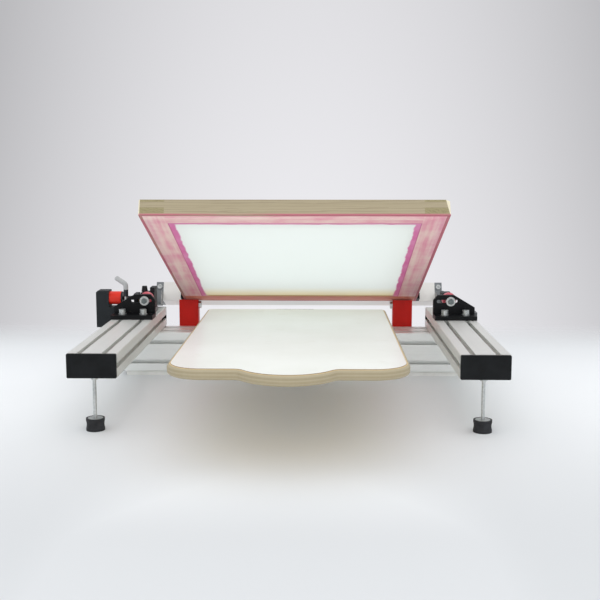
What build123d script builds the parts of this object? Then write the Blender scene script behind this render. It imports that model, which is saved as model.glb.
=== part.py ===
from build123d import *
import os
from math import cos, radians, sin

# Tabletop screen printing press.
# Origin: on the table, under the middle of the crossbeam.
# +X is the operator's right, +Y points away from the operator, +Z is up.  Millimetres.

os.makedirs("parts", exist_ok=True)

# ------------------------------------------------------------------ aluminium slot profile
cell = 40.0
profile_corner_radius = 2.0
slot_mouth = 8.0
slot_lip = 4.5
slot_cavity_width = 19.0
slot_cavity_step = 2.0
slot_floor_width = 9.0
slot_depth = 12.0
slot_overcut = 0.5
core_bore_diameter = 6.8
chamber_width = 12.0
chamber_height = 24.0
end_cap_thickness = 5.0
end_cap_inset = 0.5

# ------------------------------------------------------------------ base frame
beam_length = 690.0
beam_cells = 2
pad_height = 8.0
pad_length = 680.0
pad_inset = 1.0
pad_rabbet = 1.4
rail_length = 500.0
rail_cells = 2
rail_centre_x = 310.0
arm_length = 511.0
arm_rear_y = 11.0
cleat_leg = 38.0
cleat_thickness = 5.0
cleat_width = 36.0
cleat_hole_reach = 22.8

# ------------------------------------------------------------------ front levelling feet
foot_setback = 14.0
foot_diameter = 30.0
foot_waist = 28.0
foot_height = 20.0
foot_rim = 4.0
foot_plate_diameter = 24.0
foot_plate_thickness = 2.0
foot_rod_diameter = 6.0
foot_rod_reach = 19.0
foot_nut_height = 5.0

# ------------------------------------------------------------------ platen
platen_width = 346.5
platen_offset_x = 5.0
platen_rear_y = -90.0
platen_side_length = 561.5
platen_corner_radius = 52.0
platen_rear_radius = 8.0
platen_belly_radius = 80.0
platen_belly_depth = 39.0
platen_blend_radius = 12.0
board_thickness = 15.0
board_edge_round = 5.0
laminate_thickness = 1.0
laminate_inset = 5.5
platen_bolt_pitch = 320.0
platen_bolt_setback = 45.0

# ------------------------------------------------------------------ register brackets
bracket_width = 80.0
bracket_depth = 41.0
bracket_thickness = 8.0
bracket_front_y = -130.0
bracket_height = 44.5
bracket_outer_height = 20.5
bracket_outer_run = 40.2
bracket_inner_run = 8.7
bracket_inner_drop = 10.5
bracket_bolt_setback = 15.0
register_slot_centre_x = 297.0
register_slot_length = 41.0
register_slot_height = 6.5
register_axis_z = 160.0

# ------------------------------------------------------------------ register screws and knobs
register_screw_diameter = 6.0
register_washer_diameter = 18.0
register_washer_thickness = 1.6
disc_diameter = 27.5
disc_thickness = 12.0
disc_gap = 14.4
disc_neck_diameter = 12.0
disc_groove_count = 30
disc_groove_radius = 0.9
side_shift = 6.5
x_knob_diameter = 26.0
x_knob_length = 28.0
x_knob_dome = 3.0
x_knob_overhang = 21.0
x_collar_length = 3.0
x_collar_diameter = 25.0
x_spindle_diameter = 8.0
x_spindle_y = -55.0
x_spindle_inner_x = -306.5
x_nut_width = 12.0
x_nut_height = 14.0

# ------------------------------------------------------------------ anchor of the sideways knob
anchor_depth = 41.0
anchor_width = 30.0
anchor_bottom_z = 103.0
anchor_top_z = 175.5
anchor_step_z = 143.0
anchor_chamfer = 3.0
anchor_recess_diameter = 27.5
anchor_recess_depth = 5.0
anchor_screw_pitch = 16.0

# ------------------------------------------------------------------ slide plates and their blocks
plate_gap = 0.3
plate_thickness = 8.0
plate_inner_x = 300.5
plate_outer_x = 351.0
plate_front_y = -83.0
plate_rear_y = 51.0
plate_tab_inner_x = 286.0
plate_tab_rear_y = -5.0
plate_stud_rear_y = 5.0
plate_stud_front_y = -77.0
adjust_x = 5.0
adjust_y_forward = 3.0
adjust_y_back = 6.0
nut_block_rear_y = -5.0
nut_block_front_y = -40.0
nut_block_width = 19.0
nut_block_top_z = 168.0
clamp_side_width = 8.0
clamp_ear_width = 9.0
clamp_ear_top_z = 178.0
clamp_ear_front_y = -35.0
x_lug_outer_x = -316.0
x_lug_thickness = 8.0
x_lug_top_z = 170.0
x_lug_wall = 3.0
bearing_width = 10.5
bearing_length = 28.0
bearing_top_radius = 8.0

# ------------------------------------------------------------------ clamp lever and brake knob
lever_stud_diameter = 6.0
lever_collar_height = 5.0
lever_hub_diameter = 9.0
lever_hub_bottom_z = 166.0
lever_hub_top_z = 179.5
lever_arm_diameter = 9.5
lever_bend_radius = 7.0
lever_tip_round = 2.8
lever_bend_z = 190.0
lever_tip_x = -350.0
lever_tip_z = 203.5
brake_knob_base = 13.0
brake_knob_taper = 9.0
brake_knob_height = 11.0
brake_knob_offset = 10.5
brake_knob_y = -33.0
brake_neck_diameter = 8.0
brake_neck_height = 2.0
brake_screw_diameter = 4.0
brake_screw_reach = 24.0

# ------------------------------------------------------------------ hinge and screen
raised_angle = 22.0
pivot_y = 37.0
pivot_z = 150.0
pivot_pin_diameter = 10.0
pin_head_thickness = 2.0
pivot_above_underside = 3.0
pivot_to_hinge_beam = 21.0
hinge_beam_size = 40.0
hinge_beam_wall = 3.0
end_block_inner_x = 285.0
end_block_thickness = 15.0
end_block_lug_front = 7.0
end_block_lug_drop = 11.5
end_block_lug_top = 15.0
end_screw_diameter = 6.0
end_screw_head = 10.0
end_screw_above = 29.5
screen_width = 484.0
screen_length = 550.0
screen_thickness = 25.0
screen_bar_width = 40.0
screen_offset_x = 3.0
finger_steps = (0.0, 2.5, 12.0, 21.5, 25.0)
mesh_thickness = 0.3
mesh_margin = 5.0
cheek_thickness = 6.0
cheek_length = 22.0
cheek_height = 12.0
cheek_screw_height = 7.5
cheek_screw_reach = 12.0
corner_cut_left = (2.0, 2.0)
corner_cut_right = (1.0, 7.0)
screen_clamp_spread = 150.0
screen_clamp_height = 17.5
screen_clamp_diameter = 8.0
insert_diameter = 12.0
insert_length = 16.0
star_knob_diameter = 26.0
star_knob_length = 14.0
star_lobe_count = 6
star_lobe_radius = 7.0
star_neck_diameter = 14.0
star_neck_length = 3.0
clamp_washer_diameter = 20.0
clamp_washer_thickness = 2.0

# ------------------------------------------------------------------ rear posts
post_width = 40.0
post_depth = 20.0
post_inner_x = 202.5
post_bottom_z = 14.0
post_stop_gap = 2.0
post_bolt_z = 131.5

# ------------------------------------------------------------------ fasteners and fits
running_gap = 0.05
bolt_gap = 0.2
seat_gap = 0.1
m8 = 8.0
m8_flats = 13.0
m8_head = 5.3
m8_washer_diameter = 15.0
m8_washer_thickness = 2.4
m8_socket_head = 13.0
m6_flats = 10.0
m6_head = 4.0
m4 = 4.0
m4_socket_head = 7.0
head_chamfer_share = 0.12
socket_radius_share = 0.4
socket_depth_share = 0.6
tee_nut_length = 15.0
tee_nut_width = 15.0
tee_nut_height = 5.0
tee_nut_bevel = 3.0
tee_neck_width = 7.6
tee_neck_height = 3.5
stud_slot_play = 0.8
match_tolerance = 0.01

# ------------------------------------------------------------------ derived places
UP = (0, 0, 1)
FRONT = (0, -1, 0)
BACK = (0, 1, 0)
RIGHT = (1, 0, 0)
LEFT = (-1, 0, 0)
SIDES = (("left", -1), ("right", 1))

beam_size = beam_cells * cell
beam_half = beam_size / 2
beam_top = pad_height + beam_size
beam_centre_z = pad_height + beam_half
beam_slot_low_z = pad_height + cell / 2
beam_slot_high_z = beam_slot_low_z + cell
rail_width = rail_cells * cell
rail_top = beam_top + cell
rail_centre_z = beam_top + cell / 2
rail_rear_y = beam_half
rail_front_y = rail_rear_y - rail_length
rail_outer_slot_x = rail_centre_x + cell / 2
rail_inner_slot_x = rail_centre_x - cell / 2
rail_side_x = -(rail_centre_x + rail_width / 2)
foot_y = rail_front_y + foot_setback
arm_front_y = arm_rear_y - arm_length
board_bottom = rail_top
board_top = board_bottom + board_thickness
plate_bottom = rail_top + plate_gap
plate_top = plate_bottom + plate_thickness
bracket_rear_y = bracket_front_y + bracket_depth
bracket_face_y = bracket_rear_y - bracket_thickness
register_screw_x = register_slot_centre_x
disc_front_y = bracket_rear_y + disc_gap
disc_rear_y = disc_front_y + disc_thickness
anchor_outer_x = rail_side_x - anchor_depth
x_knob_outer_x = rail_side_x - x_knob_overhang
x_knob_inner_x = x_knob_outer_x + x_knob_length
screen_centre_x = side_shift + screen_offset_x

# The screen's own directions: X, back along the frame, and up from its underside.
tilt = radians(raised_angle)
screen_back = (0, cos(tilt), -sin(tilt))
screen_up = (0, sin(tilt), cos(tilt))
underside = -pivot_above_underside
frame_rear = pivot_to_hinge_beam
frame_front = frame_rear - screen_length


def front_plane(y):
    """Upright plane facing the operator at y, with X to the right and Z up."""
    return Plane(origin=(0, y, 0), x_dir=RIGHT, z_dir=FRONT)


def side_plane(x):
    """Upright plane across X, with Y to its right and Z up."""
    return Plane.YZ.offset(x)


def screen_point(x, back, up):
    """World place of a point given in the screen's own directions from the pivot axis."""
    return (
        x,
        pivot_y + back * screen_back[1] + up * screen_up[1],
        pivot_z + back * screen_back[2] + up * screen_up[2],
    )


def screen_level(up):
    """Plane parallel with the screen at a height above the pivot axis."""
    return Plane(origin=screen_point(0, 0, up), x_dir=RIGHT, z_dir=screen_up)


def screen_section(x):
    """Plane across X whose own directions are back along the screen and up from it."""
    return Plane(origin=screen_point(x, 0, 0), x_dir=screen_back, z_dir=RIGHT)


def facing(direction, *points):
    """Locations at the points whose own +Z looks along the direction."""
    return [Plane(origin=point, z_dir=direction).location for point in points]


def finish(builder, name):
    """Label a finished piece and write it."""
    builder.part.label = name
    export_step(builder.part, f"parts/{name}.step")


# ------------------------------------------------------------------ shared sections and fasteners
def slot_profile(cells_wide, cells_high):
    """Section of the slotted extrusion, centred on its middle."""
    width = cells_wide * cell
    height = cells_high * cell
    slot_outline = [
        (-slot_mouth / 2, slot_overcut),
        (slot_mouth / 2, slot_overcut),
        (slot_mouth / 2, -slot_lip),
        (slot_cavity_width / 2, -slot_lip),
        (slot_cavity_width / 2, -slot_lip - slot_cavity_step),
        (slot_floor_width / 2, -slot_depth),
        (-slot_floor_width / 2, -slot_depth),
        (-slot_cavity_width / 2, -slot_lip - slot_cavity_step),
        (-slot_cavity_width / 2, -slot_lip),
        (-slot_mouth / 2, -slot_lip),
    ]
    columns = [(i - (cells_wide - 1) / 2) * cell for i in range(cells_wide)]
    rows = [(i - (cells_high - 1) / 2) * cell for i in range(cells_high)]
    with BuildSketch() as section:
        RectangleRounded(width, height, profile_corner_radius)
        for x in columns:
            with Locations((x, height / 2)):
                Polygon(*slot_outline, align=None, mode=Mode.SUBTRACT)
            with Locations((x, -height / 2)):
                Polygon(*slot_outline, align=None, rotation=180, mode=Mode.SUBTRACT)
        for z in rows:
            with Locations((width / 2, z)):
                Polygon(*slot_outline, align=None, rotation=-90, mode=Mode.SUBTRACT)
            with Locations((-width / 2, z)):
                Polygon(*slot_outline, align=None, rotation=90, mode=Mode.SUBTRACT)
        with GridLocations(cell, cell, cells_wide, cells_high):
            Circle(core_bore_diameter / 2, mode=Mode.SUBTRACT)
        Rectangle(chamber_width, chamber_height, mode=Mode.SUBTRACT)
    return section.sketch


def cap_section(cells_wide, cells_high):
    """Outline of a profile's end cap, a little inside the profile's edge."""
    with BuildSketch() as section:
        RectangleRounded(
            cells_wide * cell - 2 * end_cap_inset,
            cells_high * cell - 2 * end_cap_inset,
            profile_corner_radius,
        )
    return section.sketch


def hex_bolt(diameter, reach, flats, head):
    """Hex head bolt: head above its own origin, shank below it."""
    with BuildPart() as bolt:
        with BuildSketch():
            RegularPolygon(flats / 2, 6, major_radius=False)
        extrude(amount=head)
        chamfer(bolt.edges().group_by(Axis.Z)[-1], head * head_chamfer_share)
        with BuildSketch():
            Circle(diameter / 2)
        extrude(amount=-reach)
    return bolt.part


def socket_bolt(diameter, reach, head_diameter, head):
    """Socket head bolt: head above its own origin, shank below it."""
    with BuildPart() as bolt:
        with BuildSketch():
            Circle(head_diameter / 2)
        extrude(amount=head)
        with BuildSketch(Plane.XY.offset(head)):
            RegularPolygon(diameter * socket_radius_share, 6, major_radius=False)
        extrude(amount=-head * socket_depth_share, mode=Mode.SUBTRACT)
        with BuildSketch():
            Circle(diameter / 2)
        extrude(amount=-reach)
    return bolt.part


def washer(outer, inner, thickness):
    """Flat washer standing on its own origin."""
    with BuildPart() as ring:
        with BuildSketch():
            Circle(outer / 2)
            Circle(inner / 2, mode=Mode.SUBTRACT)
        extrude(amount=thickness)
    return ring.part


def hex_nut(diameter, flats, height):
    """Hex nut standing on its own origin."""
    with BuildPart() as nut:
        with BuildSketch():
            RegularPolygon(flats / 2, 6, major_radius=False)
            Circle(diameter / 2 + running_gap, mode=Mode.SUBTRACT)
        extrude(amount=height)
    return nut.part


def tee_nut(diameter):
    """Slot nut for a profile face at its own origin: it hangs in the slot below the face."""
    with BuildPart() as nut:
        with BuildSketch(Plane.XY.offset(-slot_lip)):
            Rectangle(tee_nut_length, tee_nut_width)
        extrude(amount=-tee_nut_height)
        chamfer(nut.edges().group_by(Axis.Z)[0].filter_by(Axis.X), tee_nut_bevel)
        with BuildSketch(Plane.XY.offset(-slot_lip)):
            Rectangle(tee_nut_length, tee_neck_width)
        extrude(amount=tee_neck_height)
        with BuildSketch():
            Circle(diameter / 2 + running_gap)
        extrude(amount=-slot_depth, mode=Mode.SUBTRACT)
    return nut.part


def slot_along(axis, direction, *points):
    """Locations on slot faces: own +Z looks out of the slot, own +X runs along it."""
    return [Plane(origin=point, x_dir=axis, z_dir=direction).location for point in points]


rail_section = slot_profile(rail_cells, 1)
beam_section = slot_profile(beam_cells, beam_cells)
rail_cap_section = cap_section(rail_cells, 1)
beam_cap_section = cap_section(beam_cells, beam_cells)

# ------------------------------------------------------------------ crossbeam and its skid board
with BuildPart() as crossbeam:
    with BuildSketch(side_plane(-beam_length / 2)):
        with Locations((0, beam_centre_z)):
            add(beam_section)
    extrude(amount=beam_length)
finish(crossbeam, "crossbeam")

with BuildPart() as beam_pads:
    with BuildSketch():
        Rectangle(pad_length, beam_size - 2 * pad_inset)
    extrude(amount=pad_height - pad_rabbet)
    with BuildSketch(Plane.XY.offset(pad_height - pad_rabbet)):
        Rectangle(pad_length, beam_size - 2 * pad_inset - 2 * pad_rabbet)
    extrude(amount=pad_rabbet)
finish(beam_pads, "beam_pads")

# ------------------------------------------------------------------ side rails
rail_screw_points = [
    (side * rail_centre_x, y, rail_top - m8 - plate_gap)
    for _, side in SIDES
    for y in (-cell / 2, cell / 2)
]

for side_name, side in SIDES:
    with BuildPart() as rail:
        with BuildSketch(front_plane(rail_rear_y)):
            with Locations((side * rail_centre_x, rail_centre_z)):
                add(rail_section)
        extrude(amount=rail_length)
        with BuildSketch(Plane.XY.offset(rail_top)):
            with Locations(*[(side * rail_centre_x, y) for y in (-cell / 2, cell / 2)]):
                Circle(m8_socket_head / 2 + bolt_gap)
        extrude(amount=-m8 - plate_gap, mode=Mode.SUBTRACT)
        with BuildSketch(Plane.XY.offset(beam_top)):
            with Locations(*[(side * rail_centre_x, y) for y in (-cell / 2, cell / 2)]):
                Circle(m8 / 2 + bolt_gap)
            with Locations((side * rail_centre_x, foot_y)):
                Circle(foot_rod_diameter / 2 + running_gap)
        extrude(amount=cell / 2, mode=Mode.SUBTRACT)
    finish(rail, f"rail_{side_name}")

rail_screw_reach = rail_screw_points[0][2] - beam_top + slot_lip + tee_nut_height
rail_nut_points = [(x, y, beam_top) for x, y, _ in rail_screw_points]

# ------------------------------------------------------------------ platen arm
with BuildPart() as platen_arm:
    with BuildSketch(front_plane(arm_rear_y)):
        with Locations((0, rail_centre_z)):
            add(rail_section)
    extrude(amount=arm_length)
finish(platen_arm, "platen_arm")

cap_places = [
    (rail_cap_section, front_plane(cap_rear_y), (cap_x, rail_centre_z))
    for cap_x, cap_fronts in (
        (-rail_centre_x, (rail_front_y, rail_rear_y)),
        (0, (arm_front_y, arm_rear_y)),
        (rail_centre_x, (rail_front_y, rail_rear_y)),
    )
    for cap_rear_y in (cap_fronts[0], cap_fronts[1] + end_cap_thickness)
] + [
    (beam_cap_section, side_plane(cap_x), (0, beam_centre_z))
    for cap_x in (-beam_length / 2 - end_cap_thickness, beam_length / 2)
]
with BuildPart() as end_caps:
    for cap_outline, cap_plane, cap_centre in cap_places:
        with BuildSketch(cap_plane):
            with Locations(cap_centre):
                add(cap_outline)
        extrude(amount=end_cap_thickness)
finish(end_caps, "end_caps")

cleat_y = -cell / 2
with BuildPart() as arm_cleats:
    for _, side in SIDES:
        arm_side = side * rail_width / 2
        with BuildSketch(front_plane(cleat_y + cleat_width / 2)):
            with BuildLine():
                Polyline(
                    (arm_side, beam_top),
                    (arm_side + side * cleat_leg, beam_top),
                    (arm_side + side * cleat_leg, beam_top + cleat_thickness),
                    (arm_side + side * cleat_thickness, beam_top + cleat_thickness),
                    (arm_side + side * cleat_thickness, beam_top + cleat_leg),
                    (arm_side, beam_top + cleat_leg),
                    close=True,
                )
            make_face()
        extrude(amount=cleat_width)
        with BuildSketch(Plane.XY.offset(beam_top)):
            with Locations((arm_side + side * cleat_hole_reach, cleat_y)):
                Circle(m8 / 2 + bolt_gap)
        extrude(amount=cleat_thickness, mode=Mode.SUBTRACT)
        with BuildSketch(side_plane(arm_side)):
            with Locations((cleat_y, rail_centre_z)):
                Circle(m8 / 2 + bolt_gap)
        extrude(amount=side * cleat_thickness, mode=Mode.SUBTRACT)
finish(arm_cleats, "arm_cleats")

cleat_low_points = [
    (side * (rail_width / 2 + cleat_hole_reach), cleat_y, beam_top) for _, side in SIDES
]
cleat_side_points = [(side * rail_width / 2, cleat_y, rail_centre_z) for _, side in SIDES]

# ------------------------------------------------------------------ platen board
platen_bolt_points = [
    (side * cell / 2, arm_front_y + platen_bolt_setback + i * platen_bolt_pitch, board_top - m8)
    for _, side in SIDES
    for i in range(2)
]


def platen_outline():
    """Top view of the platen: straight sides, round front corners and a round belly."""
    shoulder_y = platen_rear_y - platen_side_length
    belly_centre_y = shoulder_y - platen_belly_depth + platen_belly_radius
    with BuildSketch() as outline:
        with Locations((platen_offset_x, (platen_rear_y + shoulder_y) / 2)):
            Rectangle(platen_width, platen_side_length)
        front_corners = outline.vertices().group_by(Axis.Y)[0]
        fillet(front_corners, platen_corner_radius)
        fillet(outline.vertices().group_by(Axis.Y)[-1], platen_rear_radius)
        with Locations((platen_offset_x, belly_centre_y)):
            Circle(platen_belly_radius)
        shoulder_corners = [
            corner for corner in outline.vertices() if abs(corner.Y - shoulder_y) < match_tolerance
        ]
        inner_corners = [
            corner for corner in shoulder_corners if abs(corner.X - platen_offset_x) < platen_belly_radius
        ]
        fillet(inner_corners, platen_blend_radius)
    return outline.sketch


platen_face = platen_outline()
with BuildPart() as platen_board:
    with BuildSketch(Plane.XY.offset(board_bottom)):
        add(platen_face)
    extrude(amount=board_thickness)
    fillet(platen_board.edges().group_by(Axis.Z)[0], board_edge_round)
    fillet(platen_board.edges().group_by(Axis.Z)[-1], board_edge_round)
    with Locations(*facing(UP, *[(x, y, board_top) for x, y, _ in platen_bolt_points])):
        CounterBoreHole(m8 / 2 + bolt_gap, m8_socket_head / 2 + bolt_gap, m8, depth=board_thickness)
finish(platen_board, "platen_board")

with BuildPart() as platen_laminate:
    with BuildSketch(Plane.XY.offset(board_top)):
        add(platen_face)
        offset(amount=-laminate_inset, mode=Mode.REPLACE)
    extrude(amount=laminate_thickness)
finish(platen_laminate, "platen_laminate")

platen_bolt_reach = board_thickness - m8 + slot_lip + tee_nut_height
platen_nut_points = [(x, y, rail_top) for x, y, _ in platen_bolt_points]

# ------------------------------------------------------------------ register brackets
for side_name, side in SIDES:
    inner_x = side * (rail_centre_x - bracket_width / 2)
    outer_x = side * (rail_centre_x + bracket_width / 2)
    with BuildPart() as bracket:
        with BuildSketch(Plane.XY.offset(rail_top)):
            with Locations((side * rail_centre_x, bracket_front_y + bracket_depth / 2)):
                Rectangle(bracket_width, bracket_depth)
        extrude(amount=bracket_thickness)
        with BuildSketch(front_plane(bracket_rear_y)):
            with BuildLine():
                Polyline(
                    (inner_x, rail_top),
                    (outer_x, rail_top),
                    (outer_x, rail_top + bracket_outer_height),
                    (outer_x - side * bracket_outer_run, rail_top + bracket_height),
                    (inner_x + side * bracket_inner_run, rail_top + bracket_height),
                    (inner_x, rail_top + bracket_height - bracket_inner_drop),
                    close=True,
                )
            make_face()
            with Locations((side * register_slot_centre_x, register_axis_z)):
                SlotOverall(register_slot_length, register_slot_height, mode=Mode.SUBTRACT)
        extrude(amount=bracket_thickness)
        with BuildSketch(Plane.XY.offset(rail_top)):
            for slot_x in (rail_inner_slot_x, rail_outer_slot_x):
                with Locations((side * slot_x, bracket_front_y + bracket_bolt_setback)):
                    Circle(m8 / 2 + bolt_gap)
        extrude(amount=bracket_thickness, mode=Mode.SUBTRACT)
    finish(bracket, f"bracket_{side_name}")

bracket_bolt_points = [
    (side * slot_x, bracket_front_y + bracket_bolt_setback, rail_top)
    for _, side in SIDES
    for slot_x in (rail_inner_slot_x, rail_outer_slot_x)
]
bracket_washer_z = rail_top + bracket_thickness
bracket_head_z = bracket_washer_z + m8_washer_thickness
with BuildPart() as bracket_washers:
    with Locations(*facing(UP, *[(x, y, bracket_washer_z) for x, y, _ in bracket_bolt_points])):
        add(washer(m8_washer_diameter, m8 + 2 * bolt_gap, m8_washer_thickness))
finish(bracket_washers, "bracket_washers")

bracket_bolt_reach = bracket_head_z - rail_top + slot_lip + tee_nut_height
with BuildPart() as bracket_bolts:
    with Locations(*facing(UP, *[(x, y, bracket_head_z) for x, y, _ in bracket_bolt_points])):
        add(socket_bolt(m8, bracket_bolt_reach, m8_socket_head, m8))
finish(bracket_bolts, "bracket_bolts")

# ------------------------------------------------------------------ front levelling feet
for side_name, side in SIDES:
    foot_x = side * rail_centre_x
    with BuildPart() as foot_buffer:
        with BuildSketch(front_plane(foot_y)):
            with BuildLine():
                Polyline(
                    (foot_x, 0),
                    (foot_x + foot_diameter / 2, 0),
                    (foot_x + foot_diameter / 2, foot_rim),
                )
                ThreePointArc(
                    (foot_x + foot_diameter / 2, foot_rim),
                    (foot_x + foot_waist / 2, foot_height / 2),
                    (foot_x + foot_diameter / 2, foot_height - foot_rim),
                )
                Polyline(
                    (foot_x + foot_diameter / 2, foot_height - foot_rim),
                    (foot_x + foot_diameter / 2, foot_height),
                    (foot_x + foot_plate_diameter / 2 + seat_gap, foot_height),
                    (foot_x + foot_plate_diameter / 2 + seat_gap, foot_height - foot_plate_thickness),
                    (foot_x, foot_height - foot_plate_thickness),
                    (foot_x, 0),
                )
            make_face()
        revolve(axis=Axis((foot_x, foot_y, 0), UP))
    finish(foot_buffer, f"foot_buffer_{side_name}")

    rod_seat_z = foot_height - foot_plate_thickness
    with BuildPart() as foot_rod:
        with BuildSketch(Plane.XY.offset(rod_seat_z)):
            with Locations((foot_x, foot_y)):
                Circle(foot_plate_diameter / 2)
        extrude(amount=foot_plate_thickness)
        with BuildSketch(Plane.XY.offset(rod_seat_z)):
            with Locations((foot_x, foot_y)):
                Circle(foot_rod_diameter / 2)
        extrude(amount=beam_top + foot_rod_reach - rod_seat_z)
    finish(foot_rod, f"foot_rod_{side_name}")

foot_points = [(side * rail_centre_x, foot_y, beam_top - foot_nut_height) for _, side in SIDES]
with BuildPart() as foot_nuts:
    with Locations(*facing(UP, *foot_points)):
        add(hex_nut(foot_rod_diameter, m6_flats, foot_nut_height))
finish(foot_nuts, "foot_nuts")

# ------------------------------------------------------------------ rear posts
post_front_y = beam_half
post_rear_y = post_front_y + post_depth
post_centre_x = post_inner_x + post_width / 2


def stop_height(y):
    """Height of the post's sloping top at y, a set gap below the raised screen's underside."""
    along = (y - pivot_y - (underside - post_stop_gap) * sin(tilt)) / cos(tilt)
    return screen_point(0, along, underside - post_stop_gap)[2]


with BuildPart() as stop_posts:
    for _, side in SIDES:
        with BuildSketch(side_plane(side * post_centre_x - post_width / 2)):
            with BuildLine():
                Polyline(
                    (post_front_y, post_bottom_z),
                    (post_rear_y, post_bottom_z),
                    (post_rear_y, stop_height(post_rear_y)),
                    (post_front_y, stop_height(post_front_y)),
                    close=True,
                )
            make_face()
            with Locations((post_front_y + post_depth / 2, post_bolt_z)):
                Circle(m8 / 2 + bolt_gap, mode=Mode.SUBTRACT)
        extrude(amount=post_width)
        with BuildSketch(front_plane(post_rear_y)):
            for slot_z in (beam_slot_low_z, beam_slot_high_z):
                with Locations((side * post_centre_x, slot_z)):
                    Circle(m8 / 2 + bolt_gap)
        extrude(amount=post_depth, mode=Mode.SUBTRACT)
        with BuildSketch(front_plane(post_rear_y)):
            for slot_z in (beam_slot_low_z, beam_slot_high_z):
                with Locations((side * post_centre_x, slot_z)):
                    Circle(m8_socket_head / 2 + bolt_gap)
        extrude(amount=m8, mode=Mode.SUBTRACT)
finish(stop_posts, "stop_posts")

post_cross_points = [
    (side * post_inner_x, post_front_y + post_depth / 2, post_bolt_z) for _, side in SIDES
]
with BuildPart() as post_cross_bolts:
    for point, inward in zip(post_cross_points, (RIGHT, LEFT)):
        with Locations(*facing(inward, point)):
            add(hex_bolt(m8, post_width - bolt_gap, m8_flats, m8_head))
finish(post_cross_bolts, "post_cross_bolts")

post_screw_points = [
    (side * post_centre_x, post_rear_y - m8, slot_z)
    for _, side in SIDES
    for slot_z in (beam_slot_low_z, beam_slot_high_z)
]
post_screw_reach = post_depth - m8 + slot_lip + tee_nut_height
post_nut_points = [(x, beam_half, z) for x, _, z in post_screw_points]

# ------------------------------------------------------------------ anchor of the sideways knob
anchor_front_y = x_spindle_y - anchor_width / 2
with BuildPart() as x_anchor:
    with BuildSketch(front_plane(anchor_front_y + anchor_width)):
        with BuildLine():
            Polyline(
                (rail_side_x, anchor_bottom_z),
                (rail_side_x, anchor_step_z),
                (x_knob_outer_x + anchor_recess_depth, anchor_step_z),
                (x_knob_outer_x + anchor_recess_depth, anchor_top_z),
                (anchor_outer_x + anchor_chamfer, anchor_top_z),
                (anchor_outer_x, anchor_top_z - anchor_chamfer),
                (anchor_outer_x, anchor_bottom_z),
                close=True,
            )
        make_face()
    extrude(amount=anchor_width)
    with BuildSketch(side_plane(x_knob_outer_x)):
        with Locations((x_spindle_y, register_axis_z)):
            Circle(anchor_recess_diameter / 2)
    extrude(amount=x_collar_length + anchor_recess_depth, mode=Mode.SUBTRACT)
    with BuildSketch(side_plane(anchor_outer_x + x_collar_length)):
        with Locations((x_spindle_y, register_axis_z)):
            Circle(x_spindle_diameter / 2 + running_gap)
    extrude(amount=anchor_width, mode=Mode.SUBTRACT)
    with BuildSketch(side_plane(anchor_outer_x)):
        with Locations((x_spindle_y, rail_centre_z)):
            with GridLocations(anchor_screw_pitch, 1, 2, 1):
                Circle(m6_flats / 2 + bolt_gap)
    extrude(amount=m6_flats, mode=Mode.SUBTRACT)
    with BuildSketch(side_plane(anchor_outer_x)):
        with Locations((x_spindle_y, rail_centre_z)):
            with GridLocations(anchor_screw_pitch, 1, 2, 1):
                Circle(register_screw_diameter / 2 + bolt_gap)
    extrude(amount=rail_side_x - anchor_outer_x, mode=Mode.SUBTRACT)
finish(x_anchor, "x_anchor")

anchor_screw_points = [
    (anchor_outer_x + m6_flats, x_spindle_y + offset, rail_centre_z)
    for offset in (-anchor_screw_pitch / 2, anchor_screw_pitch / 2)
]
anchor_screw_reach = rail_side_x - anchor_screw_points[0][0] + slot_lip + tee_nut_height
with BuildPart() as anchor_screws:
    with Locations(*facing(LEFT, *anchor_screw_points)):
        add(socket_bolt(register_screw_diameter, anchor_screw_reach, m6_flats, register_screw_diameter))
finish(anchor_screws, "anchor_screws")

anchor_nut_points = [(rail_side_x, y, z) for _, y, z in anchor_screw_points]

# ------------------------------------------------------------------ slot nuts and socket screws
with BuildPart() as slot_nuts:
    with Locations(
        *slot_along(RIGHT, UP, *rail_nut_points, *cleat_low_points),
        *slot_along(BACK, UP, *platen_nut_points, *bracket_bolt_points),
        *slot_along(BACK, LEFT, cleat_side_points[0]),
        *slot_along(BACK, RIGHT, cleat_side_points[1]),
        *slot_along(RIGHT, BACK, *post_nut_points),
    ):
        add(tee_nut(m8))
    with Locations(*slot_along(BACK, LEFT, *anchor_nut_points)):
        add(tee_nut(register_screw_diameter))
finish(slot_nuts, "slot_nuts")

cleat_screw_reach = cleat_thickness + slot_lip + tee_nut_height
cleat_left, cleat_right = cleat_side_points
cleat_screw_places = (
    facing(UP, *[(x, y, z + cleat_thickness) for x, y, z in cleat_low_points])
    + facing(LEFT, (cleat_left[0] - cleat_thickness, cleat_left[1], cleat_left[2]))
    + facing(RIGHT, (cleat_right[0] + cleat_thickness, cleat_right[1], cleat_right[2]))
)
with BuildPart() as slot_screws:
    for screw_reach, screw_places in (
        (rail_screw_reach, facing(UP, *rail_screw_points)),
        (platen_bolt_reach, facing(UP, *platen_bolt_points)),
        (post_screw_reach, facing(BACK, *post_screw_points)),
        (cleat_screw_reach, cleat_screw_places),
    ):
        with Locations(*screw_places):
            add(socket_bolt(m8, screw_reach, m8_socket_head, m8))
finish(slot_screws, "slot_screws")

# ------------------------------------------------------------------ sideways knob, spindle and nut
with BuildPart() as x_knob:
    with BuildSketch(side_plane(x_knob_outer_x)):
        with Locations((x_spindle_y, register_axis_z)):
            Circle(x_knob_diameter / 2)
            Circle(x_spindle_diameter / 2 + running_gap, mode=Mode.SUBTRACT)
    extrude(amount=x_knob_length)
    outer_rim = x_knob.edges().filter_by(GeomType.CIRCLE).group_by(Axis.X)[0].sort_by(SortBy.RADIUS)[-1]
    fillet(outer_rim, x_knob_dome)
finish(x_knob, "x_knob")

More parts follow.
